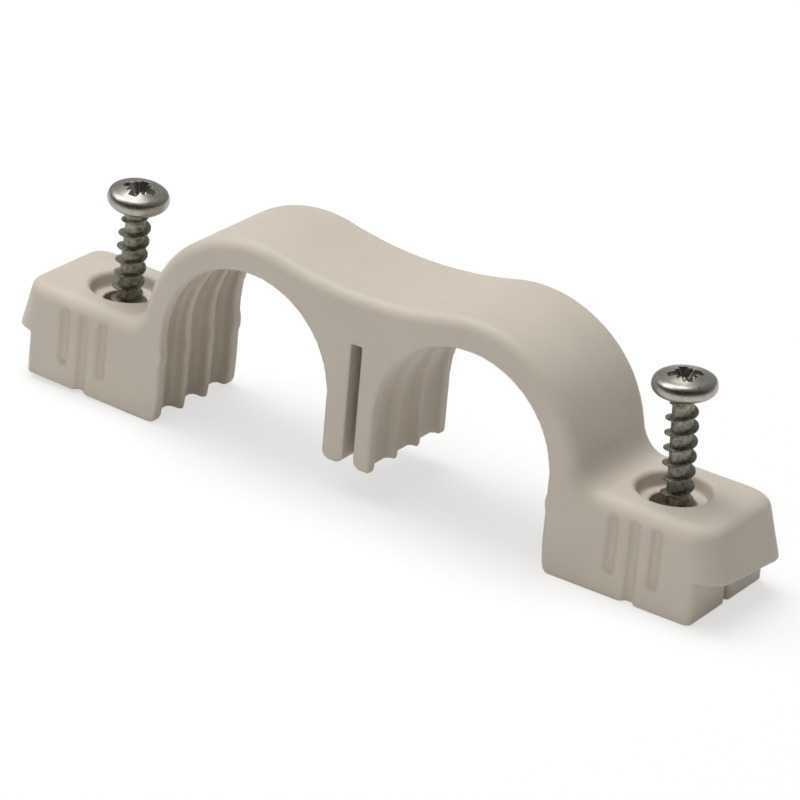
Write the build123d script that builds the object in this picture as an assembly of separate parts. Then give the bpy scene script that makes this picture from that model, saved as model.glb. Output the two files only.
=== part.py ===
from build123d import *
import math
import os

# Double pipe clip: one moulded body that carries two pipes side by side, and its two screws.
# Frame: X along the row of pipes, Y along the pipes, Z away from the wall. The soles lie on Z = 0
# and the origin is the middle of the clip. Sizes are in millimetres.

# Pipe seats: the wall presses each pipe a little way into its seat
pipe_diameter = 22.0
seat_clearance = 0.25
wall_press = 0.3
leg_width = 6.3
clip_width = 15.1

# Arches over the pipes
arch_wall = 3.45
saddle_dip = 1.7
top_bevel = 0.9
arch_to_foot_round = 2.6

# Ribs that grip the pipes: an outer plate on each face and thin fins between them
plate_thickness = 1.4
fin_thickness = 0.85
fin_count = 2
foot_pocket_depth = 1.6
leg_pocket_depth = 0.5
least_pocket_depth = 0.08

# Snap-in nib and lead-in below it, on the inner side of each foot
nib_height = 0.15
nib_round = 2.2
nib_drop = 2.6
lead_in_run = 1.2
lead_in_height = 7.4

# Split middle leg
leg_gap = 3.7
slit_width = 1.35
slit_offset = 0.28
slit_cap = 5.6
slit_round = 0.3
tine_round = 1.05
tine_pipe_edge = 0.3

# Feet
foot_height = 11.0
foot_length = 18.8
foot_corner_round = 0.8
sole_end_round = 0.6
end_notch_width = 0.7
end_notch_depth = 0.9
end_notch_round = 0.65

# Sloped apron that overhangs the end of each foot
apron_overhang = 2.85
apron_low_front = 5.2
apron_low_back = 4.0
apron_lean = 1.6
apron_corner_round = 3.0

# Moulded grooves on the two faces of each foot
groove_count = 3
groove_pitch = 2.68
groove_radius = 0.65
groove_depth = 0.35
groove_cap = 0.5
side_groove_bottom = 2.7

# Screw seats
hole_inset = 11.05
hole_diameter = 5.0
recess_rim_diameter = 8.3
recess_floor_diameter = 7.5
recess_depth = 1.6
recess_rim_bevel = 0.3

# Pan head wood screws that stand loose in the holes
screw_length = 22.4
thread_diameter = 3.6
head_diameter = 7.0
head_rim_height = 1.15
head_rim_bevel = 0.35
head_dome_rise = 1.15
tip_length = 4.2
tip_flat_diameter = 0.8

# Cross recess of the screws
cross_wing_span = 4.2
cross_wing_width = 1.0
cross_depth = 1.7
cross_taper_span = 2.4
cross_taper_width = 0.7

# How far each point stands off the middle of its hole, and lean in degrees about X and about Y, left first
screw_offsets = ((-0.7, 0.55, 0.05), (0.7, 0.25, 0.05))
screw_leans = ((3.6, 6.6), (1.6, -1.8))

# Sizes that follow from those above
seat_radius = pipe_diameter / 2 + seat_clearance
outer_radius = seat_radius + arch_wall
leg_half = leg_width / 2
half_spacing = leg_half + seat_radius
half_width = clip_width / 2
axis_height = pipe_diameter / 2 - wall_press
arch_top = axis_height + outer_radius
slit_top = arch_top - saddle_dip - slit_cap
foot_inner = half_spacing + seat_radius
foot_end = foot_inner + foot_length
apron_end = foot_end + apron_overhang
hole_position = foot_inner + hole_inset
groove_top = foot_height - groove_cap
pocket_width = (clip_width - 2 * plate_thickness - fin_count * fin_thickness) / (fin_count + 1)


def prism(face, depth):
    """Extrude a face that is drawn in the XZ plane evenly to both sides of Y = 0."""
    return extrude(face, amount=depth / 2, both=True)


def saddle_face():
    """Front view of the arches and the web between them, without openings."""
    rise = arch_top - saddle_dip - axis_height
    bridge = (half_spacing**2 + rise**2 - outer_radius**2) / (2 * (outer_radius - rise))
    touch = half_spacing * bridge / (bridge + outer_radius)
    touch_height = axis_height + (rise + bridge) * outer_radius / (bridge + outer_radius)
    foot_side = half_spacing + outer_radius
    top = ThreePointArc((-touch, touch_height), (0, arch_top - saddle_dip), (touch, touch_height))
    right_crest = ThreePointArc(
        (touch, touch_height),
        (half_spacing + outer_radius * math.sin(math.radians(30)),
         axis_height + outer_radius * math.cos(math.radians(30))),
        (foot_side, axis_height),
    )
    left_crest = mirror(right_crest, about=Plane.YZ)
    sides = Polyline((foot_side, axis_height), (foot_side, 0), (-foot_side, 0), (-foot_side, axis_height))
    return make_face([*top.edges(), *right_crest.edges(), *left_crest.edges(), *sides.edges()])


def blend_face():
    """Concave corner between an arch and the top of its foot, on the right side."""
    centre_height = foot_height + arch_to_foot_round
    reach = math.sqrt((outer_radius + arch_to_foot_round) ** 2 - (centre_height - axis_height) ** 2)
    centre = half_spacing + reach
    ratio = outer_radius / (outer_radius + arch_to_foot_round)
    touch = (half_spacing + reach * ratio, axis_height + (centre_height - axis_height) * ratio)
    diagonal = math.radians(225)
    middle = (centre + arch_to_foot_round * math.cos(diagonal),
              centre_height + arch_to_foot_round * math.sin(diagonal))
    arc = ThreePointArc(touch, middle, (centre, foot_height))
    rest = Polyline((centre, foot_height), (centre, foot_height / 2), (half_spacing, foot_height / 2), touch)
    return make_face([*arc.edges(), *rest.edges()])


def opening_face(leg_relief, foot_relief, drop):
    """Right pipe opening, open at the wall side, grown at the leg and foot, its round part set lower by the drop."""
    left = leg_half - leg_relief
    right = foot_inner + foot_relief
    radius = (right - left) / 2
    centre = (right + left) / 2
    spring = axis_height - drop
    top = spring + radius
    flare = right + lead_in_run
    bow = (lead_in_run**2 + lead_in_height**2) / (2 * lead_in_run)
    half_angle = math.asin(lead_in_height / bow) / 2
    bend = (right + bow * (1 - math.cos(half_angle)), lead_in_height - bow * math.sin(half_angle))
    crown = ThreePointArc((left, spring), (centre, top), (right, spring))
    lead_in = ThreePointArc((right, lead_in_height), bend, (flare, 0))
    lines = Polyline((flare, 0), (flare, -1), (left, -1), (left, spring))
    foot_line = Line((right, spring), (right, lead_in_height))
    return make_face([*crown.edges(), *foot_line.edges(), *lead_in.edges(), *lines.edges()])


def nib_face():
    """Snap-in nib on the inner side of the right foot."""
    centre = foot_inner - nib_height + nib_round
    return Pos(centre, axis_height - nib_drop) * Circle(nib_round)


def both_sides(shape):
    """A shape modelled on the right side together with its mirror image on the left."""
    return [shape, mirror(shape, about=Plane.YZ)]


def foot_top():
    """Upper part of the right foot with its sloped, rounded end."""
    inner = half_spacing + seat_radius / 2
    low_length = apron_end - inner
    high_length = low_length - apron_lean
    plans = []
    for height, length in ((apron_low_back, low_length), (foot_height, high_length)):
        plan = Pos(inner + length / 2, 0) * Rectangle(length, clip_width)
        outer = plan.vertices().sort_by(Axis.X)[-2:]
        plans.append(Pos(0, 0, height) * fillet(outer, apron_corner_round))
    under = make_face(Polyline((-half_width, 0), (half_width, 0), (half_width, apron_low_back),
                               (-half_width, apron_low_front), close=True))
    return loft(plans) - extrude(Plane.YZ * under, amount=apron_end + 1)


def foot_base():
    """Lower block of the right foot, notched in the middle of its end."""
    inner = half_spacing + seat_radius / 2
    plan = Pos((inner + foot_end) / 2, 0) * Rectangle(foot_end - inner, clip_width)
    plan = fillet(plan.vertices().sort_by(Axis.X)[-2:], foot_corner_round)
    plan -= Pos(foot_end, 0) * Rectangle(2 * end_notch_depth, end_notch_width)
    mouth = plan.vertices().filter_by(lambda corner: abs(corner.X - foot_end) < 0.001).sort_by(Axis.Y)
    plan = fillet(mouth[1:3], end_notch_round)
    side = Pos((inner + foot_end) / 2, foot_height / 4) * Rectangle(foot_end - inner, foot_height / 2)
    side = fillet(side.vertices().sort_by(Axis.X)[-2:].sort_by(Axis.Y)[0], sole_end_round)
    return extrude(plan, amount=foot_height / 2) & prism(Plane.XZ * side, clip_width)


def pockets():
    """Spaces between the fins, over both pipes and down both sides of them, shallowest over the crown."""
    shift = (foot_pocket_depth + leg_pocket_depth) / 2 - least_pocket_depth
    drop = math.sqrt(shift**2 - ((foot_pocket_depth - leg_pocket_depth) / 2) ** 2)
    face = Plane.XZ * opening_face(leg_pocket_depth, foot_pocket_depth, drop)
    pocket = prism(face, pocket_width)
    found = []
    for index in range(fin_count + 1):
        start = -half_width + plate_thickness + index * (pocket_width + fin_thickness)
        found += both_sides(Pos(0, start + pocket_width / 2, 0) * pocket)
    return found


def openings():
    """The two pipe openings through the whole width, less the snap-in nibs."""
    face = Plane.XZ * (opening_face(0, 0, 0) - nib_face())
    return both_sides(prism(face, clip_width + 2))


def slit():
    """Gap that splits the middle leg into two tines."""
    height = slit_top + 1
    shape = Pos(slit_offset, height / 2 - 1) * RectangleRounded(slit_width, height, slit_round)
    return prism(Plane.XZ * shape, clip_width + 2)


def tine_face(near, far, far_round):
    """Front view of the lower end of a tine, from its slit side to its pipe side."""
    height = tine_round * 2
    width = abs(far - near)
    shape = Pos((near + far) / 2, leg_gap + height / 2) * Rectangle(width, height)
    low = shape.vertices().sort_by(Axis.Y)[:2].sort_by(Axis.X)
    if far < near:
        low = low[::-1]
    shape = fillet(low[0], tine_round)
    low = shape.vertices().filter_by(lambda corner: abs(corner.X - far) < 0.001).sort_by(Axis.Y)[:1]
    return fillet(low, far_round)


def below_leg():
    """Space under the middle leg, which stops short of the wall and ends in two rounded tines."""
    top = leg_gap + tine_round
    shape = Pos(0, top / 2 - 0.5) * Rectangle(2 * leg_half + 2, top + 1)
    shape -= tine_face(slit_offset - slit_width / 2, -leg_half, tine_round)
    shape -= tine_face(slit_offset + slit_width / 2, leg_half, tine_pipe_edge)
    return prism(Plane.XZ * shape, clip_width + 2)


def grooves():
    """Round-bottomed grooves on the front and back of the right foot."""
    found = []
    middle = (groove_count - 1) / 2
    for index in range(groove_count):
        at = hole_position + (index - middle) * groove_pitch
        bottom = -1 if index == middle else side_groove_bottom
        length = groove_top - bottom
        for side in (-1, 1):
            depth_centre = side * (half_width + groove_radius - groove_depth)
            found.append(Pos(at, depth_centre, bottom) * Cylinder(
                groove_radius, length, align=(Align.CENTER, Align.CENTER, Align.MIN)))
    return found


def screw_seat():
    """Through hole and head recess of the right foot."""
    floor = foot_height - recess_depth
    rim = recess_rim_diameter / 2
    mouth = rim + recess_rim_bevel
    profile = Polyline(
        (0, -1), (hole_diameter / 2, -1), (hole_diameter / 2, floor), (recess_floor_diameter / 2, floor),
        (rim, foot_height - recess_rim_bevel), (mouth, foot_height), (mouth, foot_height + 1),
        (0, foot_height + 1), close=True)
    seat = revolve(Plane.XZ * make_face(profile), Axis.Z)
    return Pos(hole_position, 0, 0) * seat


def clip_body():
    """The moulded clip in one piece."""
    arches = prism(Plane.XZ * saddle_face(), clip_width)
    corner = prism(Plane.XZ * blend_face(), clip_width)
    body = arches
    for shape in both_sides(corner) + both_sides(foot_top()) + both_sides(foot_base()):
        body = body + shape
    body = bevel_top(body)
    cuts = openings() + [below_leg(), slit()] + pockets()
    for shape in grooves():
        cuts += both_sides(shape)
    cuts += both_sides(screw_seat())
    for shape in cuts:
        body = body - shape
    return body


def bevel_top(body):
    """Bevel the upper outer edges of the clip, front, back and over the feet's ends."""
    chosen = []
    for edge in body.edges():
        middle = edge @ 0.5
        on_face = abs(abs(middle.Y) - half_width) < 0.01
        high = middle.Z > foot_height - 0.01
        if high and (on_face or abs(middle.X) > hole_position) and edge.length > 0.01:
            chosen.append(edge)
    return chamfer(chosen, top_bevel)


def screw():
    """One pan head screw with its point at the origin and its head up."""
    under = screw_length
    core = thread_diameter / 2
    head = head_diameter / 2
    rim = under + head_rim_height
    inner = head - head_rim_bevel
    dome_radius = (inner**2 + head_dome_rise**2) / (2 * head_dome_rise)
    dome_angle = math.asin(inner / dome_radius) / 2
    dome_middle = (dome_radius * math.sin(dome_angle),
                   rim + head_dome_rise - dome_radius * (1 - math.cos(dome_angle)))
    profile = make_face([
        Line((0, 0), (tip_flat_diameter / 2, 0)),
        Line((tip_flat_diameter / 2, 0), (core, tip_length)),
        Line((core, tip_length), (core, under)),
        Line((core, under), (inner, under)),
        Line((inner, under), (head, under + head_rim_bevel)),
        Line((head, under + head_rim_bevel), (head, rim - head_rim_bevel)),
        Line((head, rim - head_rim_bevel), (inner, rim)),
        ThreePointArc((inner, rim), dome_middle, (0, rim + head_dome_rise)),
        Line((0, rim + head_dome_rise), (0, 0)),
    ])
    blank = revolve(Plane.XZ * profile, Axis.Z)
    return blank - cross_recess()


def cross_recess():
    """Cross recess of the screw head: four tapering wings."""
    top = screw_length + head_rim_height + head_dome_rise
    low = top - cross_depth
    wings = []
    for angle in (0, 90):
        wide = Rot(0, 0, angle) * Rectangle(cross_wing_span, cross_wing_width)
        narrow = Rot(0, 0, angle) * Rectangle(cross_taper_span, cross_taper_width)
        wings.append(loft([Pos(0, 0, low) * narrow, Pos(0, 0, top + 0.01) * wide]))
    return wings[0] + wings[1]


def screws():
    """Both screws, each leaning a little in its hole."""
    found = []
    for hole, offset, lean in zip((-hole_position, hole_position), screw_offsets, screw_leans):
        found.append(Pos(hole, 0, 0) * Pos(*offset) * Rot(*lean, 0) * screw())
    return Compound(children=found)


os.makedirs("parts", exist_ok=True)
export_step(clip_body(), "parts/clip_body.step")
export_step(screws(), "parts/pan_head_screws.step")
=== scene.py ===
import math

import bmesh
import bpy
import numpy as np
from mathutils import Matrix, Vector


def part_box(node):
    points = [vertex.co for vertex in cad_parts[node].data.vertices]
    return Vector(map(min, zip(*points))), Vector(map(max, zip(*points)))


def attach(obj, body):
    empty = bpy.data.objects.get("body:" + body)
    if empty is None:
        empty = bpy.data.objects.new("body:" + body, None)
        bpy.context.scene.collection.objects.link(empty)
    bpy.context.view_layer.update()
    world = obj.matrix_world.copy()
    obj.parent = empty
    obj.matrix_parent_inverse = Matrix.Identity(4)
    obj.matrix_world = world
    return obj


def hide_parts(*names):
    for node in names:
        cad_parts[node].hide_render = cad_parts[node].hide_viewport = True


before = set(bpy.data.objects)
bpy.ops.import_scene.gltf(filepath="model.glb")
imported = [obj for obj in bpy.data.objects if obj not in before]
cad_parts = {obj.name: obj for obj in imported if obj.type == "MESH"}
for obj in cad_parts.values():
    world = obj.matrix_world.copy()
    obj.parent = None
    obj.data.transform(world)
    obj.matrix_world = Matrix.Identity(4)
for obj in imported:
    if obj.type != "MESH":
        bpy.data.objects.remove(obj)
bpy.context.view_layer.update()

MM = 0.001

# Sizes of the clip and the screws are in millimetres. The clip is described for positive x, with
# ax for the distance from its middle. A pair of sizes for the feet gives the left foot first.

# Arches, seats and the lead-in of each foot
SEAT_RADIUS = 11.25
OUTER_RADIUS = 14.7
LEG_HALF = 3.15
HALF_SPACING = LEG_HALF + SEAT_RADIUS
FOOT_INNER = HALF_SPACING + SEAT_RADIUS
HALF_WIDTH = 7.55
AXIS_HEIGHT = 10.7
SADDLE_DIP = 1.7
NIB_HEIGHT = 0.15
NIB_RADIUS = 2.2
NIB_DROP = 2.6
LEAD_IN_RUN = 0.35
LEAD_IN_HEIGHT = 5

# Plates, fins and the pockets between them
PLATE = 1.4
FIN = 0.85
FIN_COUNT = 2
POCKET_WIDTH = (2 * HALF_WIDTH - 2 * PLATE - FIN_COUNT * FIN) / (FIN_COUNT + 1)
FOOT_POCKET = 1.6
LEG_POCKET = 0.85
LEAST_POCKET = 0.08

# Middle leg with its slit
LEG_GAP = 3.7
SLIT_WIDTH = 1.35
SLIT_OFFSET = 0.28
SLIT_TOP = 18.1

# Feet: the lower block with its notch, and the upper part that ends in an apron
FOOT_HEIGHT = 11.0
FOOT_END = FOOT_INNER + 18.8
BASE_HEIGHT = 5.5
BASE_CORNER = 0.8
NOTCH_WIDTH = 0.7
NOTCH_DEPTH = 0.9
APRON_END = FOOT_END + 2.85
APRON_LOW_FRONT = 5.2
APRON_LOW_BACK = 4.0
APRON_LEAN = 1.6
APRON_CORNER = 3.0
APRON_TOP_CORNER = (3.2, 4.2)

# Grooves on the front and back of the feet
GROOVE_PITCH = 2.68
GROOVE_RADIUS = 0.62
GROOVE_DEPTH = 0.58
GROOVE_TOP = 9.6
SIDE_GROOVE_BOTTOM = 2.7

# Screw holes and the recesses round them
HOLE_POSITION = FOOT_INNER + 11.05
HOLE_RADIUS = 2.5
RECESS_RADIUS = 4.15
RECESS_FLOOR_RADIUS = 3.75
RECESS_DEPTH = 1.6

# Radii of edges and corners
TOP_ROUND = 1.5
FOOT_ROUND = 2.1
FOOT_ROUND_RUN = 5
END_ROUND = (0.7, 1.2)
CORNER_ROUND = 2.6
TINE_ROUND = 1.05
SOLE_END_ROUND = 0.6
NOTCH_ROUND = 0.65
RECESS_ROUND = 0.5
POCKET_ROOT = 0.6
FIN_EDGE = 0.3
HOLE_EDGE = 0.2
GROOVE_EDGE = 0.3
LEAD_IN_EDGE = 0.8
FIN_FOOT_EDGE = 0.25
EDGE = 0.22
SOLE_EDGE = 0.12

# Flex of the left foot, in degrees about a point near its root
FLEX_TURN = 1.7
FLEX_PIVOT = (-27, 3)
FLEX_START = -24
FLEX_RUN = 8

# How far a shape reaches past what it cuts, and into what it joins
PAST = 5
OVERLAP = 1

# Grid of the clip, and how points are moved from it onto the surface
MESH_STEP = 0.3
SLOPE_REACH = 0.02
SETTLE_ROUNDS = 4
LEAST_STEEPNESS = 0.3
LONGEST_MOVE = 0.2
LEAST_LENGTH = 1e-9
CELL_CORNERS = [(i, j, k) for i in (0, 1) for j in (0, 1) for k in (0, 1)]


def between(first, second, part):
    """Value that lies a given part of the way from one value to another."""
    return first + (second - first) * part


def ease(value):
    """Smooth step from 0 to 1."""
    value = np.clip(value, 0, 1)
    return value * value * (3 - 2 * value)


def corner_of(a, b):
    """Distance to the square corner that two half planes share, from the distances to both."""
    outside = np.hypot(np.maximum(a, 0), np.maximum(b, 0))
    return outside + np.minimum(np.maximum(a, b), 0)


def disc(x, z, centre_x, centre_z, radius):
    """Distance to a circle."""
    return np.hypot(x - centre_x, z - centre_z) - radius


def block(x, z, low, high):
    """Distance to a rectangle given by two corners."""
    out_x = np.abs(x - (low[0] + high[0]) / 2) - (high[0] - low[0]) / 2
    out_z = np.abs(z - (low[1] + high[1]) / 2) - (high[1] - low[1]) / 2
    return corner_of(out_x, out_z)


def meet(a, b, radius):
    """What two shapes share, with the edge between them rounded."""
    rounded = np.hypot(np.maximum(a + radius, 0), np.maximum(b + radius, 0)) - radius
    return np.where((a > -radius) & (b > -radius), rounded, np.maximum(a, b))


def join(a, b, radius):
    """Two shapes together, with the corner between them filled round."""
    return -meet(-a, -b, radius)


def cut(a, b, radius):
    """The first shape without the second, with the edge between them rounded."""
    return meet(a, -b, radius)


def saddle(ax, z):
    """Front outline of the arches, the web between them and the root of each foot."""
    rise = OUTER_RADIUS - SADDLE_DIP
    bridge = (HALF_SPACING**2 + rise**2 - OUTER_RADIUS**2) / (2 * SADDLE_DIP)
    touch = HALF_SPACING * bridge / (bridge + OUTER_RADIUS)
    top = AXIS_HEIGHT + rise
    arches = disc(ax, z, HALF_SPACING, AXIS_HEIGHT, OUTER_RADIUS)
    web = block(ax, z, (-touch, -PAST), (touch, top + PAST))
    web = np.maximum(web, -disc(ax, z, 0, top + bridge, bridge))
    sides = block(ax, z, (-OVERLAP, -PAST), (HALF_SPACING + OUTER_RADIUS, AXIS_HEIGHT))
    root = block(ax, z, (HALF_SPACING, -PAST), (HOLE_POSITION, FOOT_HEIGHT))
    return join(np.minimum(np.minimum(arches, web), sides), root, CORNER_ROUND)


def opening(ax, z, leg_relief, foot_relief, drop):
    """Pipe opening with its lead-in, wider by the reliefs at the leg and the foot, its round part
    set lower by the drop."""
    left, right = LEG_HALF - leg_relief, FOOT_INNER + foot_relief
    radius = (right - left) / 2
    spring = AXIS_HEIGHT - drop
    crown = disc(ax, z, (left + right) / 2, spring, radius)
    slot = block(ax, z, (left, -PAST), (right, spring))
    bow = (LEAD_IN_RUN**2 + LEAD_IN_HEIGHT**2) / (2 * LEAD_IN_RUN)
    flare = block(ax, z, (right - OVERLAP, -PAST), (right + 2 * LEAD_IN_RUN, LEAD_IN_HEIGHT))
    flare = np.maximum(flare, -disc(ax, z, right + bow, LEAD_IN_HEIGHT, bow))
    return np.minimum(np.minimum(crown, slot), flare)


def foot(x, y, z):
    """Upper part of a foot with its leaning, rounded end and the sloping lip under it."""
    ax = np.abs(x)
    top_corner = np.where(x < 0, *APRON_TOP_CORNER)
    end_round = np.where(x < 0, *END_ROUND)
    height = (z - APRON_LOW_BACK) / (FOOT_HEIGHT - APRON_LOW_BACK)
    inset = between(APRON_CORNER, top_corner, np.clip(height, 0, 1))
    side = np.abs(y) - (HALF_WIDTH - inset)
    beyond = ax - (APRON_END - APRON_LEAN * height - inset)
    plan = np.maximum(corner_of(beyond, side) - inset, HALF_SPACING - ax)
    slope = (APRON_LOW_BACK - APRON_LOW_FRONT) / (2 * HALF_WIDTH)
    lip = (APRON_LOW_FRONT + APRON_LOW_BACK) / 2 + slope * y - z
    rounding = between(FOOT_ROUND, end_round, ease(beyond / inset))
    return meet(meet(plan, z - FOOT_HEIGHT, rounding), lip, EDGE)


def base(ax, y, z):
    """Lower block of a foot, notched in the middle of its end."""
    side = np.abs(y) - (HALF_WIDTH - BASE_CORNER)
    beyond = ax - (FOOT_END - BASE_CORNER)
    half_notch = NOTCH_WIDTH / 2
    notch = block(ax, y, (FOOT_END - NOTCH_DEPTH, -half_notch), (FOOT_END + PAST, half_notch))
    plan = cut(corner_of(beyond, side) - BASE_CORNER, notch, NOTCH_ROUND)
    nose = meet(ax - FOOT_END, -z, SOLE_END_ROUND)
    return np.maximum(np.maximum(plan, nose), np.maximum(HALF_SPACING - ax, z - BASE_HEIGHT))


def leg_and_seats(x, ax, y, z):
    """Front outline of what the openings, the slit and the gap under the leg leave standing."""
    nib_middle = FOOT_INNER - NIB_HEIGHT + NIB_RADIUS
    nib = disc(ax, z, nib_middle, AXIS_HEIGHT - NIB_DROP, NIB_RADIUS)
    seats = join(-opening(ax, z, 0, 0, 0), nib, EDGE)
    under = -block(ax, z, (-OVERLAP, -PAST), (LEG_HALF + OVERLAP, LEG_GAP))
    half_slit = SLIT_WIDTH / 2
    slit = -block(x, z, (SLIT_OFFSET - half_slit, -PAST), (SLIT_OFFSET + half_slit, SLIT_TOP))
    on_plate = np.abs(y) > HALF_WIDTH - PLATE - FIN_EDGE
    foot_edge = np.where(on_plate, LEAD_IN_EDGE, FIN_FOOT_EDGE)
    seats = meet(seats, -z, np.where(ax > HALF_SPACING, foot_edge, EDGE))
    pipe_side = np.where(x < 0, TINE_ROUND, EDGE)
    return np.maximum(meet(seats, under, pipe_side), meet(slit, under, TINE_ROUND))


def pockets(ax, y, z):
    """Spaces between the plates and fins, shallowest over the crown."""
    shift = (FOOT_POCKET + LEG_POCKET) / 2 - LEAST_POCKET
    drop = math.sqrt(shift**2 - ((FOOT_POCKET - LEG_POCKET) / 2) ** 2)
    outline = opening(ax, z, LEG_POCKET, FOOT_POCKET, drop)
    pitch = POCKET_WIDTH + FIN
    across = np.abs(y - pitch * np.clip(np.round(y / pitch), -1, 1)) - POCKET_WIDTH / 2
    return meet(outline, across, POCKET_ROOT)


def grooves(ax, y, z):
    """Three shallow grooves on the front and back of a foot, the middle one down to the sole."""
    centre = HALF_WIDTH + GROOVE_RADIUS - GROOVE_DEPTH
    found = None
    for index in (-1, 0, 1):
        bottom = SIDE_GROOVE_BOTTOM if index else -PAST
        middle = HOLE_POSITION + index * GROOVE_PITCH
        groove = disc(ax, np.abs(y), middle, centre, GROOVE_RADIUS)
        groove = meet(groove, np.maximum(bottom - z, z - GROOVE_TOP), GROOVE_DEPTH)
        found = groove if found is None else np.minimum(found, groove)
    return found


def clip(x, y, z):
    """Signed distance to the moulded clip, in millimetres."""
    ax = np.abs(x)
    rounding = between(TOP_ROUND, FOOT_ROUND, ease((ax - FOOT_INNER) / FOOT_ROUND_RUN))
    body = meet(saddle(ax, z), np.abs(y) - HALF_WIDTH, rounding)
    body = np.minimum(body, np.minimum(foot(x, y, z), base(ax, y, z)))
    body = meet(body, leg_and_seats(x, ax, y, z), EDGE)
    body = cut(body, pockets(ax, y, z), FIN_EDGE)
    body = cut(body, grooves(ax, y, z), GROOVE_EDGE)
    out = np.hypot(ax - HOLE_POSITION, y)
    floor = FOOT_HEIGHT - RECESS_DEPTH
    widening = (RECESS_RADIUS - RECESS_FLOOR_RADIUS) / RECESS_DEPTH
    recess = meet(out - RECESS_FLOOR_RADIUS - widening * (z - floor), floor - z, EDGE)
    body = cut(body, recess, RECESS_ROUND)
    body = cut(body, out - HOLE_RADIUS, HOLE_EDGE)
    return meet(body, -z, SOLE_EDGE)


def slopes(shape, points):
    """Direction in which a signed distance grows at each point."""
    found = np.empty_like(points)
    for axis in range(3):
        ahead, behind = points.copy(), points.copy()
        ahead[:, axis] += SLOPE_REACH
        behind[:, axis] -= SLOPE_REACH
        found[:, axis] = shape(*ahead.T) - shape(*behind.T)
    return found / (2 * SLOPE_REACH)


def unit_slopes(shape, points):
    """Normals of the surface of a signed distance at each point."""
    found = slopes(shape, points)
    return found / np.maximum(np.linalg.norm(found, axis=1), LEAST_LENGTH)[:, None]


def settle(shape, points):
    """Move points onto the surface of a signed distance."""
    for _ in range(SETTLE_ROUNDS):
        slope = slopes(shape, points)
        steepness = np.maximum((slope**2).sum(1), LEAST_STEEPNESS)
        move = np.clip(shape(*points.T) / steepness, -LONGEST_MOVE, LONGEST_MOVE)
        points = points - slope * move[:, None]
    return points


def sample(shape, low, high, step):
    """Values of a signed distance on a grid."""
    lines = [np.arange(a, b + step, step) for a, b in zip(low, high)]
    value = np.empty([len(line) for line in lines], np.float32)
    for index, x in enumerate(lines[0]):
        value[index] = shape(np.full((1, 1), x), lines[1][:, None], lines[2][None, :])
    return value


def cell_points(value, cells):
    """Middle of the crossings of each cell's edges with the surface, in grid steps."""
    total = np.zeros((len(cells), 3))
    crossings = np.zeros(len(cells))
    for first in CELL_CORNERS:
        for axis in range(3):
            if first[axis]:
                continue
            second = tuple(n + (m == axis) for m, n in enumerate(first))
            a = value[tuple((cells + first).T)]
            b = value[tuple((cells + second).T)]
            crossed = (a < 0) != (b < 0)
            place = np.array(first, float) + np.zeros((len(cells), 3))
            place[:, axis] = np.where(crossed, a / np.where(crossed, a - b, 1), 0)
            total += place * crossed[:, None]
            crossings += crossed
    return cells + total / crossings[:, None]


def edge_quads(solid, number):
    """One quad round each grid edge that crosses the surface, from the numbers of its cells."""
    size = solid.shape
    quads = []
    for axis in range(3):
        b, c = (axis + 1) % 3, (axis + 2) % 3
        near = solid.take(range(size[axis] - 1), axis)
        far = solid.take(range(1, size[axis]), axis)
        edges = np.argwhere(near != far)
        edges = edges[(edges[:, b] > 0) & (edges[:, c] > 0)]
        edges = edges[(edges[:, b] < size[b] - 1) & (edges[:, c] < size[c] - 1)]
        ring = []
        for back_b, back_c in ((1, 1), (0, 1), (0, 0), (1, 0)):
            cell = edges.copy()
            cell[:, b] -= back_b
            cell[:, c] -= back_c
            ring.append(number[tuple(cell.T)])
        ring = np.stack(ring, 1)
        outward = near[tuple(edges.T)]
        quads.append(np.where(outward[:, None], ring, ring[:, ::-1]))
    return np.concatenate(quads)


def skin(shape, low, high, step):
    """Points, quads and normals of a signed distance, with one point in each crossed cell."""
    value = sample(shape, low, high, step)
    solid = value < 0
    size = [n - 1 for n in solid.shape]
    count = sum(
        solid[i:size[0] + i, j:size[1] + j, k:size[2] + k].astype(np.int8)
        for i, j, k in CELL_CORNERS
    )
    cells = np.argwhere((count > 0) & (count < len(CELL_CORNERS)))
    number = np.full(size, -1, np.int32)
    number[tuple(cells.T)] = np.arange(len(cells))
    points = settle(shape, np.array(low) + step * cell_points(value, cells))
    return points, edge_quads(solid, number), unit_slopes(shape, points)


def add_object(name, data):
    """Object with its data, in the scene."""
    piece = bpy.data.objects.new(name, data)
    bpy.context.scene.collection.objects.link(piece)
    return piece


def mesh_object(name, points, faces, normals):
    """Smooth object from points in millimetres."""
    mesh = bpy.data.meshes.new(name)
    mesh.from_pydata((points * MM).tolist(), [], faces.tolist())
    mesh.shade_smooth()
    mesh.normals_split_custom_set_from_vertices(normals.tolist())
    return add_object(name, mesh)


def flex_left_foot(points, normals):
    """Turn the left foot up a little about its root, as the photographed clip is flexed."""
    turn = math.radians(FLEX_TURN) * ease((FLEX_START - points[:, 0]) / FLEX_RUN)
    c, s = np.cos(turn), np.sin(turn)
    for vectors, (x, z) in ((points, FLEX_PIVOT), (normals, (0, 0))):
        dx, dz = vectors[:, 0] - x, vectors[:, 2] - z
        vectors[:, 0], vectors[:, 2] = x + dx * c + dz * s, z - dx * s + dz * c


def build_clip():
    """The moulded clip with its rounded edges."""
    margin = 2 * MESH_STEP
    low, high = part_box("clip_body")
    low = [v / MM - margin for v in low]
    high = [v / MM + margin for v in high]
    points, quads, normals = skin(clip, low, high, MESH_STEP)
    flex_left_foot(points, normals)
    return mesh_object("clip", points, quads, normals)


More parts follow.
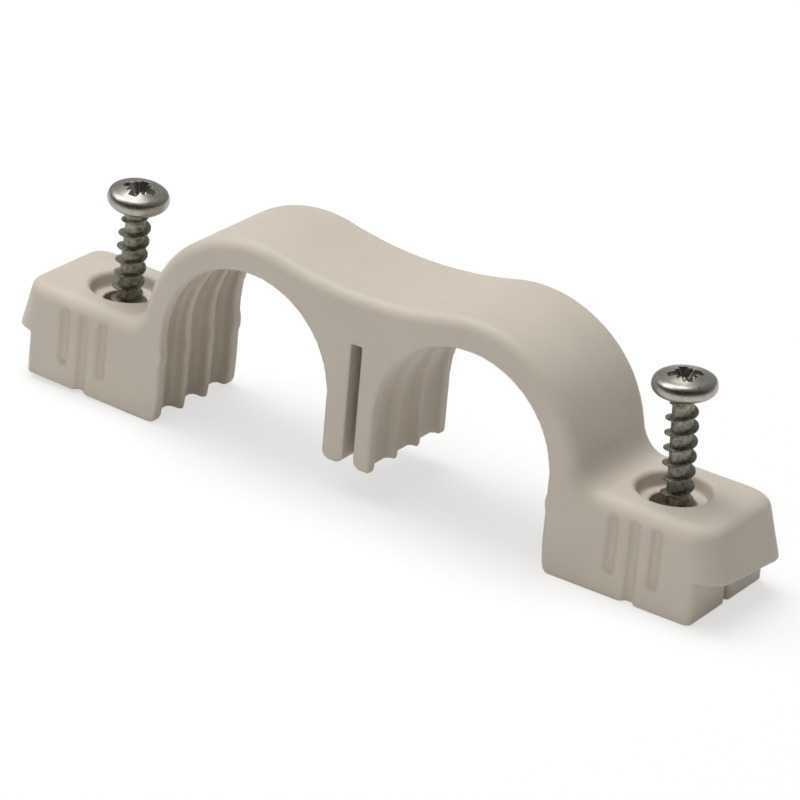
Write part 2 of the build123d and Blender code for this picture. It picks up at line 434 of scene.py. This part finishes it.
# Shank and thread of a screw, which has its point at the origin and its head up
SCREW_LENGTH = 22.2
SHANK_TOP = SCREW_LENGTH + 0.5
CORE_RADIUS = 1.15
CREST_RADIUS = 1.8
PITCH = 1.735
CREST_HALF = 0.07
FLANK_RUN = 0.22
FLANK_FOOT = 0.12
FLANK_FOOT_RUN = 0.16
TIP_LENGTH = 4.2
TIP_RADIUS = 0.08
TIP_POWER = 0.8
NECK_ROUND = 0.25

# Part of the thread's height at the tip and how soon it is full, and where it fades out on top
THREAD_START = 0.25
THREAD_START_RUN = 3
THREAD_FADE = (19.5, 22.2)

# Lengths over which the shank closes at its point and at its top, inside the head
POINT_CLOSING = 0.3
TOP_CLOSING = 0.2

# Mesh of the shank: rows from the middle of a crest to nearly the middle between two crests,
# columns to a turn, and spare turns under the point and over the top that are left out again
THREAD_ROWS = (0, CREST_HALF, CREST_HALF + 0.4 * FLANK_RUN, CREST_HALF + 0.8 * FLANK_RUN,
               CREST_HALF + FLANK_RUN, CREST_HALF + FLANK_RUN + 0.07, 0.45, 0.65)
SHANK_COLUMNS = 72
SPARE_TURNS = (2, 4)
TINY = 1e-6

# Head
HEAD_RADIUS = 3.52
HEAD_HEIGHT = 2.45
HEAD_TOP = SCREW_LENGTH + HEAD_HEIGHT
RIM_ROUND = 0.9
DOME_RADIUS = 5.4
DOME_INSET = 0.4
DOME_CREASE = 0.5
HEAD_STEP = 0.09
HEAD_MARGIN = 0.2

# Cross recess and the marks between its wings: a pair gives a size at the floor and at the
# mouth, and the last value tells how far past the mouth the sizes still grow, in depths
CROSS_DEPTH = 1.35
CROSS_REACH = (1.1, 2.15)
CROSS_HALF = (0.12, 0.58)
CROSS_CORE = (0.35, 1.25)
CROSS_EDGE = 0.07
CROSS_CORNER = 0.12
CROSS_FLOOR_ROUND = 0.15
MARK_REACH = (0.5, 1.75)
MARK_HALF = 0.15
MARK_DEPTH = 1.1
MARK_FLOOR_ROUND = 0.05
MOST_RISE = 1.2

# Name of each screw, where its point stands, its lean about X and about Y in degrees, and the
# turns of its thread and of its cross in degrees
SCREWS = (
    ("screw_left", (-37.4, 0.55, 0.05), (3.9, 6.7), -18.2, 12),
    ("screw_right", (37.4, 0.25, 0.05), (1.6, -1.8), 179.5, 40),
)


def cross_recess(x, y, z):
    """Cross recess of a screw head with the four thin marks between its wings."""
    rise = np.clip((z - (HEAD_TOP - CROSS_DEPTH)) / CROSS_DEPTH, 0, MOST_RISE)
    found = np.hypot(x, y) - between(*CROSS_CORE, rise)
    for a, b in ((x, y), (y, x)):
        off_end = np.abs(a) - between(*CROSS_REACH, rise)
        off_side = np.abs(b) - between(*CROSS_HALF, rise)
        found = np.minimum(found, meet(off_end, off_side, CROSS_CORNER))
    found = meet(found, HEAD_TOP - CROSS_DEPTH - z, CROSS_FLOOR_ROUND)
    rise = np.clip((z - (HEAD_TOP - MARK_DEPTH)) / MARK_DEPTH, 0, MOST_RISE)
    for a, b in ((x + y, x - y), (x - y, x + y)):
        off_end = np.abs(a) * math.sqrt(0.5) - between(*MARK_REACH, rise)
        off_side = np.abs(b) * math.sqrt(0.5) - MARK_HALF
        mark = meet(np.maximum(off_end, off_side), HEAD_TOP - MARK_DEPTH - z, MARK_FLOOR_ROUND)
        found = np.minimum(found, mark)
    return found


def screw_head(turn):
    """Signed distance to a domed pan head with a round rim, its cross turned by an angle."""
    def found(x, y, z):
        out = np.hypot(x, y)
        middle = SCREW_LENGTH + RIM_ROUND
        beyond = np.maximum(out - (HEAD_RADIUS - RIM_ROUND), 0)
        rim = np.hypot(beyond, z - middle) - RIM_ROUND
        dome = np.hypot(out, z - (HEAD_TOP - DOME_RADIUS)) - DOME_RADIUS
        dome = np.maximum(dome, np.maximum(middle - z, out - HEAD_RADIUS + DOME_INSET))
        c, s = math.cos(turn), math.sin(turn)
        cross = cross_recess(x * c + y * s, y * c - x * s, z)
        return cut(join(rim, dome, DOME_CREASE), cross, CROSS_EDGE)
    return found


def shank(turn):
    """Function that tells how far a point lies outside the threaded shank."""
    def found(x, y, z):
        angle = np.arctan2(y, x)
        along = z - PITCH * (angle - turn) / (2 * math.pi)
        off = np.abs(along - PITCH * np.round(along / PITCH))
        core = between(TIP_RADIUS, CORE_RADIUS, np.clip(z / TIP_LENGTH, 0, 1) ** TIP_POWER)
        neck = np.clip((z - SCREW_LENGTH + NECK_ROUND) / NECK_ROUND, 0, 1)
        core = core + NECK_ROUND * neck**2
        start = between(THREAD_START, 1, np.clip(z / THREAD_START_RUN, 0, 1))
        fade = np.clip((THREAD_FADE[1] - z) / (THREAD_FADE[1] - THREAD_FADE[0]), 0, 1)
        height = (CREST_RADIUS - CORE_RADIUS) * np.minimum(fade, start)
        flank = np.clip(1 - (off - CREST_HALF) / FLANK_RUN, 0, 1)
        off_foot = np.abs(off - CREST_HALF - FLANK_RUN)
        flank_foot = FLANK_FOOT * np.clip(1 - off_foot / FLANK_FOOT_RUN, 0, 1) ** 2
        ends = np.clip(z / POINT_CLOSING, 0, 1) * np.clip((SHANK_TOP - z) / TOP_CLOSING, 0, 1)
        return np.hypot(x, y) - np.sqrt(ends) * (core + height * np.maximum(flank, flank_foot))
    return found


def build_shank(turn):
    """Points, faces and normals of a threaded shank, its rows wound along the thread."""
    steps = np.array(THREAD_ROWS)
    rows = np.concatenate([steps, [PITCH / 2], PITCH - steps[:0:-1]])
    turns = np.arange(-SPARE_TURNS[0], int(SCREW_LENGTH / PITCH) + SPARE_TURNS[1])
    heights = (rows[None, :] + PITCH * turns[:, None]).ravel()
    column = np.arange(SHANK_COLUMNS)
    angle = turn + 2 * math.pi * column / SHANK_COLUMNS
    c, s = np.cos(angle)[:, None], np.sin(angle)[:, None]
    z = np.clip(heights[None, :] + PITCH * column[:, None] / SHANK_COLUMNS, 0, SHANK_TOP)
    surface = shank(turn)
    out = -surface(TINY * c, TINY * s, z)
    points = np.stack([out * c, out * s, z], -1).reshape(-1, 3)
    total = len(heights)
    faces = []
    for index in range(SHANK_COLUMNS):
        last = index == SHANK_COLUMNS - 1
        here = index * total
        there = len(rows) if last else here + total
        row = np.arange(total - 1 - len(rows) if last else total - 1)
        ring = [here + row, there + row, there + row + 1, here + row + 1]
        faces.append(np.stack(ring, 1))
    faces = np.concatenate(faces)
    height = points[faces][:, :, 2]
    faces = faces[(height.max(1) - height.min(1)) > TINY]
    return points, faces, unit_slopes(surface, points)


def build_screw(name, point, lean, turn, cross_turn):
    """One pan head screw with its thread, standing where it stands in its hole."""
    reach = HEAD_RADIUS + HEAD_MARGIN
    low = (-reach, -reach, SCREW_LENGTH - HEAD_MARGIN)
    high = (reach, reach, HEAD_TOP + HEAD_MARGIN)
    points, faces, normals = skin(screw_head(math.radians(cross_turn)), low, high, HEAD_STEP)
    more_points, more_faces, more_normals = build_shank(math.radians(turn))
    faces = np.concatenate([faces, more_faces + len(points)])
    points = np.concatenate([points, more_points])
    normals = np.concatenate([normals, more_normals])
    piece = mesh_object(name, points, faces, normals)
    lean_x, lean_y = (math.radians(v) for v in lean)
    piece.matrix_world = (Matrix.Translation(Vector(point) * MM)
                          @ Matrix.Rotation(lean_x, 4, "X") @ Matrix.Rotation(lean_y, 4, "Y"))
    return piece


# Colours of the materials, from their dark patches to their light ones
CREAM_COLOURS = ((0.635, 0.572, 0.485), (0.672, 0.606, 0.517))
THREAD_COLOURS = ((0.16, 0.156, 0.127), (0.42, 0.408, 0.338))
HEAD_COLOURS = ((0.37, 0.35, 0.308), (0.45, 0.43, 0.382))
CREAM_ROUGHNESS = (0.42, 0.54)
THREAD_ROUGHNESS = (0.42, 0.55)
HEAD_ROUGHNESS = (0.27, 0.34)

# Noise of the materials: features to a metre, detail and, where it isn't 0.5, roughness
CREAM_PATCHES = (120, 3)
CREAM_SHEEN = (900, 4)
CREAM_WAVES = (260, 1)
CREAM_GRAIN = (3800, 2)
STEEL_MOTTLE = (2300, 3, 0.6)
HEAD_SHEEN = (1200, 3)
HEAD_RIPPLES = (700, 2)
THREAD_PITS = (3200, 3)

# Bump of the materials: height in metres and strength
CREAM_WAVE_BUMP = (0.00005, 0.5)
CREAM_GRAIN_BUMP = (0.00001, 0.5)
STEEL_BUMP = (0.0001, 0.8)

# Ranges that values are moved from and to
WHOLE = (0, 1)
NOISE_RANGE = (0.3, 0.7)
MOTTLE_RANGE = (0.36, 0.66)
RIPPLE_RANGE = (0.44, 0.56)
HEAD_START = ((SCREW_LENGTH - 0.5) * MM, SCREW_LENGTH * MM)


def shader_tree(name):
    """New material with its tree, shader and object coordinates."""
    material = bpy.data.materials.new(name)
    material.use_nodes = True
    tree = material.node_tree
    shader = tree.nodes["Principled BSDF"]
    return material, tree, shader, object_place(tree)


def object_place(tree):
    """Coordinates of a shaded point on its own object, in metres."""
    return tree.nodes.new("ShaderNodeTexCoord").outputs["Object"]


def noise(tree, place, scale, detail, roughness=0.5):
    """Noise value with so many features to a metre."""
    node = tree.nodes.new("ShaderNodeTexNoise")
    node.inputs["Scale"].default_value = scale
    node.inputs["Detail"].default_value = detail
    node.inputs["Roughness"].default_value = roughness
    tree.links.new(place, node.inputs["Vector"])
    return node.outputs["Fac"]


def spread(tree, value, target, source=NOISE_RANGE):
    """Value moved from one range to another."""
    node = tree.nodes.new("ShaderNodeMapRange")
    names = ("To Min", "To Max", "From Min", "From Max")
    for name, number in zip(names, (*target, *source)):
        node.inputs[name].default_value = number
    tree.links.new(value, node.inputs["Value"])
    return node.outputs["Result"]


def tint(tree, factor, first, second):
    """Colour between two colours."""
    node = tree.nodes.new("ShaderNodeMix")
    node.data_type = "RGBA"
    node.inputs["A"].default_value = (*first, 1)
    node.inputs["B"].default_value = (*second, 1)
    tree.links.new(factor, node.inputs["Factor"])
    return node.outputs["Result"]


def blend(tree, factor, first, second):
    """Linked value or colour between two others."""
    node = tree.nodes.new("ShaderNodeMix")
    node.data_type = "RGBA" if first.type == "RGBA" else "FLOAT"
    sockets = [s for s in node.inputs if s.enabled]
    for link, socket in zip((factor, first, second), sockets):
        tree.links.new(link, socket)
    return next(s for s in node.outputs if s.enabled)


def combine(tree, operation, first, second):
    """Result of an operation on two linked values."""
    node = tree.nodes.new("ShaderNodeMath")
    node.operation = operation
    tree.links.new(first, node.inputs[0])
    tree.links.new(second, node.inputs[1])
    return node.outputs[0]


def bump(tree, height, distance, strength, before=None):
    """Bump from a height value, over another bump if one is given."""
    node = tree.nodes.new("ShaderNodeBump")
    node.inputs["Distance"].default_value = distance
    node.inputs["Strength"].default_value = strength
    tree.links.new(height, node.inputs["Height"])
    if before:
        tree.links.new(before, node.inputs["Normal"])
    return node.outputs["Normal"]


def plastic():
    """Cream moulded plastic with a satin skin."""
    material, tree, shader, place = shader_tree("cream_plastic")
    patches = spread(tree, noise(tree, place, *CREAM_PATCHES), WHOLE)
    rough = spread(tree, noise(tree, place, *CREAM_SHEEN), CREAM_ROUGHNESS)
    waves = bump(tree, noise(tree, place, *CREAM_WAVES), *CREAM_WAVE_BUMP)
    grain = bump(tree, noise(tree, place, *CREAM_GRAIN), *CREAM_GRAIN_BUMP, waves)
    tree.links.new(tint(tree, patches, *CREAM_COLOURS), shader.inputs["Base Color"])
    tree.links.new(rough, shader.inputs["Roughness"])
    tree.links.new(grain, shader.inputs["Normal"])
    return material


def zinc():
    """Zinc plated steel: the head smooth, the thread dull and pitted."""
    material, tree, shader, place = shader_tree("zinc_plated_steel")
    shader.inputs["Metallic"].default_value = 1
    axes = tree.nodes.new("ShaderNodeSeparateXYZ")
    tree.links.new(place, axes.inputs[0])
    on_head = spread(tree, axes.outputs["Z"], WHOLE, HEAD_START)
    mottle = spread(tree, noise(tree, place, *STEEL_MOTTLE), WHOLE, MOTTLE_RANGE)
    thread_colour = tint(tree, mottle, *THREAD_COLOURS)
    head_colour = tint(tree, mottle, *HEAD_COLOURS)
    thread_rough = spread(tree, mottle, THREAD_ROUGHNESS, WHOLE)
    head_rough = spread(tree, noise(tree, place, *HEAD_SHEEN), HEAD_ROUGHNESS)
    pits = noise(tree, place, *THREAD_PITS)
    ripples = spread(tree, noise(tree, place, *HEAD_RIPPLES), RIPPLE_RANGE, WHOLE)
    relief = bump(tree, blend(tree, on_head, pits, ripples), *STEEL_BUMP)
    colour = blend(tree, on_head, thread_colour, head_colour)
    rough = blend(tree, on_head, thread_rough, head_rough)
    tree.links.new(colour, shader.inputs["Base Color"])
    tree.links.new(rough, shader.inputs["Roughness"])
    tree.links.new(relief, shader.inputs["Normal"])
    return material


# Camera at the photograph's viewing angle, in metres and radians
CAMERA_TURN = math.radians(32.533)
CAMERA_RISE = math.radians(24.950)
CAMERA_ROLL = math.radians(-5.009)
CAMERA_DISTANCE = 0.45820
CAMERA_TARGET = Vector((0.001621, 0, 0.009582))
CAMERA_NEAR = 0.01
FOCAL_PIXELS = 4189.4
PICTURE_SIDE = 800
SENSOR = 36

# Level directions as the camera sees them: away from it, and to its left
AWAY = Vector((-math.sin(CAMERA_TURN), math.cos(CAMERA_TURN), 0))
LEFT = Vector((-math.cos(CAMERA_TURN), -math.sin(CAMERA_TURN), 0))

# Lamps: name, direction as parts away, left and up, size in metres, watts, colour, and whether
# reflections show it
LAMP_DISTANCE = 1.5
LAMPS = (
    ("softbox", (0.12, 0.2, 1), (1.5, 1.3), 15, (1, 1, 1), False),
    ("rear_softbox", (0.36, 0.3, 0.95), (1.2, 0.6), 8.5, (1, 1, 1), True),
    ("front_fill", (-0.8, 0.2, 0.38), (2.6, 1.1), 5, (1, 0.965, 0.9), False),
)

# Even fill from all sides, and the floor: its radius in metres, its tone for bounced light and
# where it is seen, the glow added where it is seen, and where it runs out into white
FILL_LEVEL = 0.09
FLOOR_RADIUS = 3
FLOOR_TONE = 0.8
FLOOR_SEEN_TONE = 0.4
FLOOR_GLOW = 0.62
FLOOR_FADE = (0.25, 0.6)

# Dim wall with a ceiling: its size in metres, and its glow from the camera's side to the far one
WALL_RADIUS = 1.8
WALL_HEIGHT = 2.2
WALL_GLOW = (0.04, 0.4)
WALL_RANGE = (-0.6 * WALL_RADIUS, WALL_RADIUS)
ROUND_SEGMENTS = 96


def add_camera():
    """The camera that looks at the clip as the photograph does."""
    level = math.cos(CAMERA_RISE)
    back = Vector((math.sin(CAMERA_TURN) * level, -math.cos(CAMERA_TURN) * level,
                   math.sin(CAMERA_RISE)))
    upright = back.cross(-LEFT)
    right = -LEFT * math.cos(CAMERA_ROLL) - upright * math.sin(CAMERA_ROLL)
    up = -LEFT * math.sin(CAMERA_ROLL) + upright * math.cos(CAMERA_ROLL)
    data = bpy.data.cameras.new("camera")
    data.sensor_width = SENSOR
    data.lens = FOCAL_PIXELS / PICTURE_SIDE * SENSOR
    data.clip_start = CAMERA_NEAR
    camera = add_object("camera", data)
    turn = Matrix((right, up, back)).transposed().to_4x4()
    camera.matrix_world = Matrix.Translation(CAMERA_TARGET + CAMERA_DISTANCE * back) @ turn
    bpy.context.scene.camera = camera


def add_lamp(name, direction, size, power, colour, mirrored):
    """A soft lamp that points at the clip from a direction given as the camera sees it."""
    away, left, up = direction
    toward = (AWAY * away + LEFT * left + Vector((0, 0, up))).normalized()
    data = bpy.data.lights.new(name, "AREA")
    data.shape = "RECTANGLE"
    data.size, data.size_y = size
    data.energy = power
    data.color = colour
    lamp = add_object(name, data)
    across = (-LEFT + toward * LEFT.dot(toward)).normalized()
    turn = Matrix((across, toward.cross(across), toward)).transposed().to_4x4()
    lamp.matrix_world = Matrix.Translation(toward * LAMP_DISTANCE) @ turn
    lamp.visible_glossy = mirrored


def seen_directly(tree):
    """1 for camera, glossy and transmission rays, else 0."""
    path = tree.nodes.new("ShaderNodeLightPath")
    found = path.outputs["Is Camera Ray"]
    for name in ("Is Glossy Ray", "Is Transmission Ray"):
        found = combine(tree, "MAXIMUM", found, path.outputs[name])
    return found


def set_world():
    """White where it is seen, and an even soft fill for the object."""
    world = bpy.data.worlds.new("studio")
    bpy.context.scene.world = world
    world.use_nodes = True
    tree = world.node_tree
    background = tree.nodes["Background"]
    background.inputs["Color"].default_value = (1, 1, 1, 1)
    level = spread(tree, seen_directly(tree), (FILL_LEVEL, 1), WHOLE)
    tree.links.new(level, background.inputs["Strength"])


def set_piece(name, work):
    """Object from a bmesh with an empty material, and the material's tree and surface input."""
    mesh = bpy.data.meshes.new(name)
    work.to_mesh(mesh)
    work.free()
    material = bpy.data.materials.new(name)
    material.use_nodes = True
    mesh.materials.append(material)
    tree = material.node_tree
    tree.nodes.remove(tree.nodes["Principled BSDF"])
    return add_object(name, mesh), tree, tree.nodes["Material Output"].inputs["Surface"]


def add_floor():
    """Pale floor that keeps a faint shadow and runs out into the white of the background."""
    work = bmesh.new()
    bmesh.ops.create_circle(work, cap_ends=True, segments=ROUND_SEGMENTS, radius=FLOOR_RADIUS)
    floor, tree, surface = set_piece("floor", work)
    seen = seen_directly(tree)
    diffuse = tree.nodes.new("ShaderNodeBsdfDiffuse")
    tone = spread(tree, seen, (FLOOR_TONE, FLOOR_SEEN_TONE), WHOLE)
    tree.links.new(tone, diffuse.inputs["Color"])
    glow = tree.nodes.new("ShaderNodeEmission")
    tree.links.new(spread(tree, seen, (0, FLOOR_GLOW), WHOLE), glow.inputs["Strength"])
    ground = tree.nodes.new("ShaderNodeAddShader")
    tree.links.new(diffuse.outputs[0], ground.inputs[0])
    tree.links.new(glow.outputs[0], ground.inputs[1])
    distance = tree.nodes.new("ShaderNodeVectorMath")
    distance.operation = "LENGTH"
    tree.links.new(object_place(tree), distance.inputs[0])
    faded = spread(tree, distance.outputs["Value"], WHOLE, FLOOR_FADE)
    mix = tree.nodes.new("ShaderNodeMixShader")
    tree.links.new(combine(tree, "MULTIPLY", faded, seen), mix.inputs[0])
    tree.links.new(ground.outputs[0], mix.inputs[1])
    tree.links.new(tree.nodes.new("ShaderNodeEmission").outputs[0], mix.inputs[2])
    tree.links.new(mix.outputs[0], surface)


def add_dark_wall():
    """Dim wall and ceiling that only reflections see, so that the metal shows its form."""
    work = bmesh.new()
    bmesh.ops.create_cone(work, cap_ends=True, segments=ROUND_SEGMENTS, radius1=WALL_RADIUS,
                          radius2=WALL_RADIUS, depth=WALL_HEIGHT)
    bottom = [f for f in work.faces if f.calc_center_median().z < -WALL_HEIGHT / 4]
    bmesh.ops.delete(work, geom=bottom, context="FACES")
    bmesh.ops.translate(work, verts=work.verts, vec=(0, 0, WALL_HEIGHT / 2))
    wall, tree, surface = set_piece("wall", work)
    for kind in ("camera", "diffuse", "transmission", "volume_scatter", "shadow"):
        setattr(wall, "visible_" + kind, False)
    behind = tree.nodes.new("ShaderNodeVectorMath")
    behind.operation = "DOT_PRODUCT"
    behind.inputs[1].default_value = AWAY
    tree.links.new(object_place(tree), behind.inputs[0])
    level = spread(tree, behind.outputs["Value"], WALL_GLOW, WALL_RANGE)
    glow = tree.nodes.new("ShaderNodeEmission")
    tree.links.new(level, glow.inputs["Strength"])
    tree.links.new(glow.outputs[0], surface)


clip_piece = build_clip()
clip_piece.data.materials.append(plastic())
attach(clip_piece, "root")
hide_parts("clip_body")
steel = zinc()
for name, *stand in SCREWS:
    screw = build_screw(name, *stand)
    screw.data.materials.append(steel)
    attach(screw, "root")
    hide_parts("pan_head_screws")

add_camera()
for lamp in LAMPS:
    add_lamp(*lamp)
set_world()
add_floor()
add_dark_wall()
bpy.context.scene.view_settings.view_transform = "Standard"
